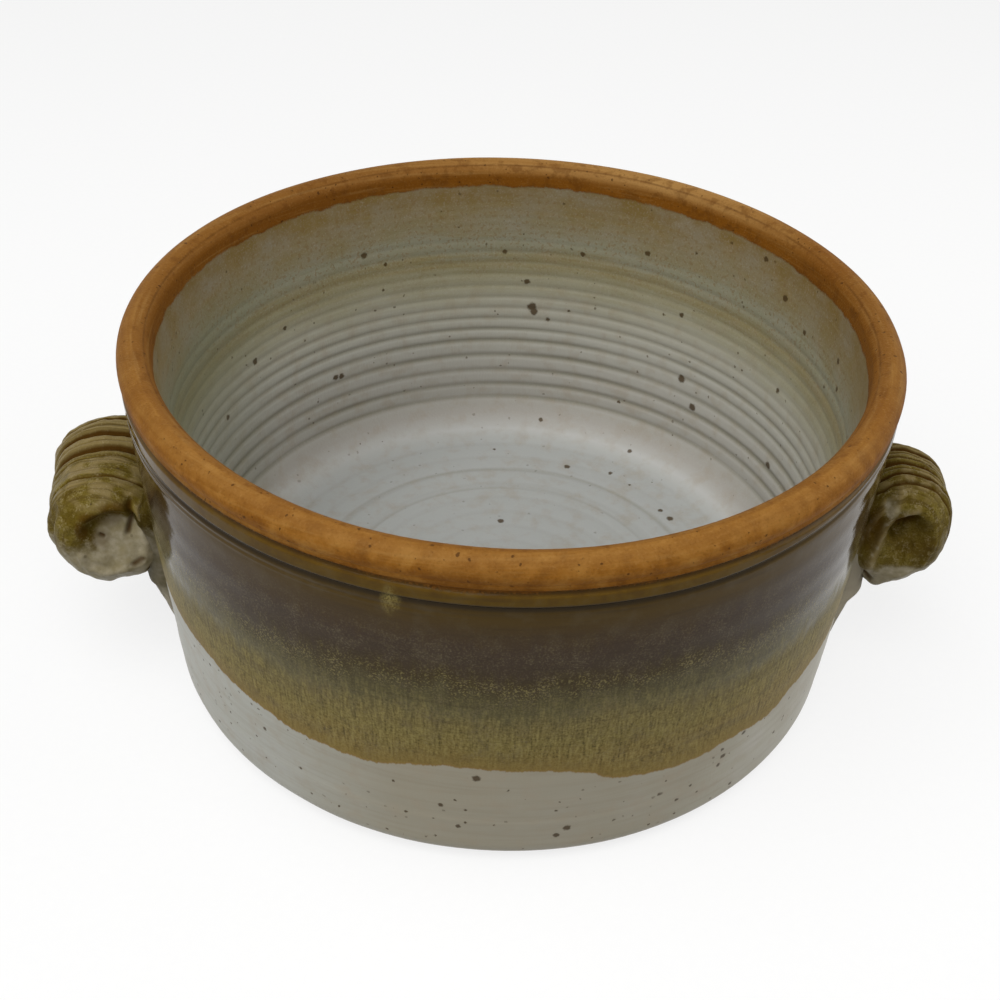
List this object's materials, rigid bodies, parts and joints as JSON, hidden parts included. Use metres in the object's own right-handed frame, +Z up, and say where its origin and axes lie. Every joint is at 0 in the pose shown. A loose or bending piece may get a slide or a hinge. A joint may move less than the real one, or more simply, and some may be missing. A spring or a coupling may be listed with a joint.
{
  "type": "casserole dish",
  "caption": "Open round hand-thrown stoneware casserole dish with a rounded bare rim, a turned line under it and a rolled, ridged strap handle stuck to each side by a pad of clay.",
  "frame": {"origin": "on the axis of the dish, at the flat underside of its foot", "axes": "+Z up along the axis of the dish, +X towards the right handle, -Y towards the front"},
  "size_m": [0.3045, 0.24, 0.123],
  "materials": {
    "dish_body": "satin brown to olive glaze outside over speckled pale grey, bare toasted clay on the rim",
    "left_handle_pad": "satin olive to pale glaze",
    "left_handle": "satin olive glaze with brown in the grooves",
    "right_handle_pad": "satin olive to pale glaze",
    "right_handle": "satin olive glaze with brown in the grooves"
  },
  "bodies": {
    "root": {"dish_body": "dish_body", "left_handle_pad": "left_handle_pad", "left_handle": "left_handle", "right_handle_pad": "right_handle_pad", "right_handle": "right_handle"}
  },
  "joints": []
}
